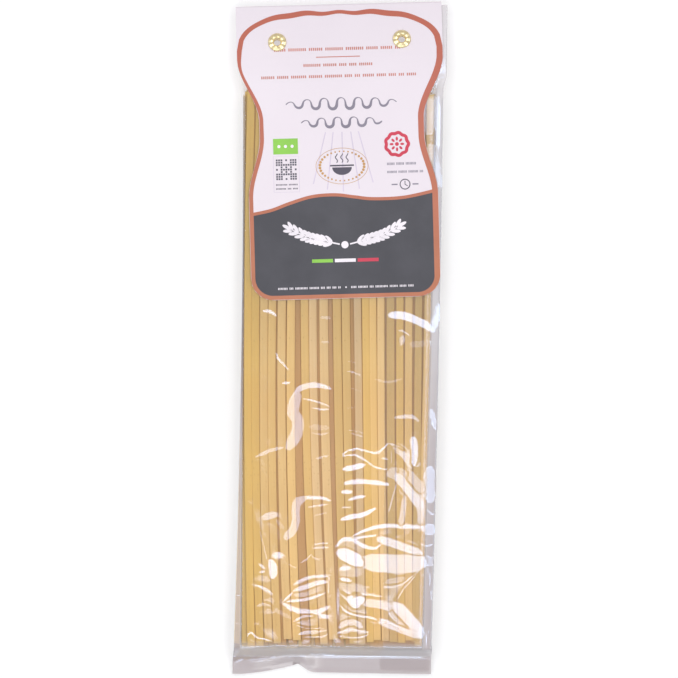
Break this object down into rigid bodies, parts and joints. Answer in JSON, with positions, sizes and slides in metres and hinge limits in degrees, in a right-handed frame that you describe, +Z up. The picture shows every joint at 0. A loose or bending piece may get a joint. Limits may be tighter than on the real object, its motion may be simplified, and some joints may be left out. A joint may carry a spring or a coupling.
{
  "type": "bag of dry ribbon pasta",
  "caption": "Clear gusseted film bag of straight dry ribbon pasta lying on its back, with a die-cut folded card header held by small brass eyelets.",
  "frame": {"origin": "on the surface that the pack lies on, under the middle of its bounding box", "axes": "+Z up, out of the pack's printed front, +Y along the pack towards the card's fold, +X to the right of the printed front"},
  "size_m": [0.0994, 0.3171, 0.0234],
  "materials": {
    "bagged_pasta": "dry straw-yellow pasta seen through clear glossy film",
    "dry_pasta": "dry matt straw-yellow pasta, slightly rough from a bronze die",
    "clear_film": "thin clear glossy film, creased, with a heat-sealed band at the bottom",
    "header_card": null,
    "eyelet_brass": "bright crimped brass"
  },
  "bodies": {
    "root": {"pasta_bag": "bagged_pasta", "header_card": "header_card", "eyelet_left": "eyelet_brass", "eyelet_right": "eyelet_brass"}
  },
  "joints": []
}
